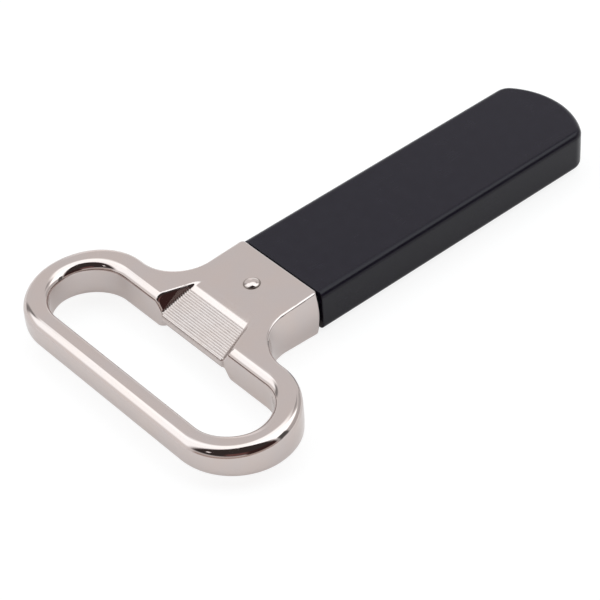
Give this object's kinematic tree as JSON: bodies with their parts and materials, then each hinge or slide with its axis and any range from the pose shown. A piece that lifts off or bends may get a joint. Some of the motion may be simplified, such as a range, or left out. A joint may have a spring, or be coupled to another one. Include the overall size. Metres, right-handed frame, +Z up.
{
  "type": "cork puller",
  "caption": "Flat looped metal handle with a ribbed cap-lifter tooth, thin riveted blades that straddle a cork, and a slip-on plastic sheath with a rounded tip.",
  "frame": {"origin": "middle of the whole object in plan, at the height of its lowest edge", "axes": "+Y from the finger loop to the sheath's rounded tip, +X towards the short blade, +Z up with the domed rivet head on top"},
  "size_m": [0.0834, 0.1448, 0.0131],
  "materials": {
    "nickel_casting": "bright nickel plate on a die casting",
    "nickel_rivet": "bright nickel plate",
    "spring_steel": "bright rolled sheet steel",
    "black_plastic": "satin moulded plastic"
  },
  "bodies": {
    "puller": {"handle": "nickel_casting", "rivet": "nickel_rivet", "long_prong": "spring_steel", "short_prong": "spring_steel"},
    "cover": {"sheath": "black_plastic"}
  },
  "joints": [
    {"name": "sheath_slide", "type": "slide", "parent": "puller", "child": "cover", "axis": [0, 1, 0], "range_m": [0, 0.095]}
  ]
}
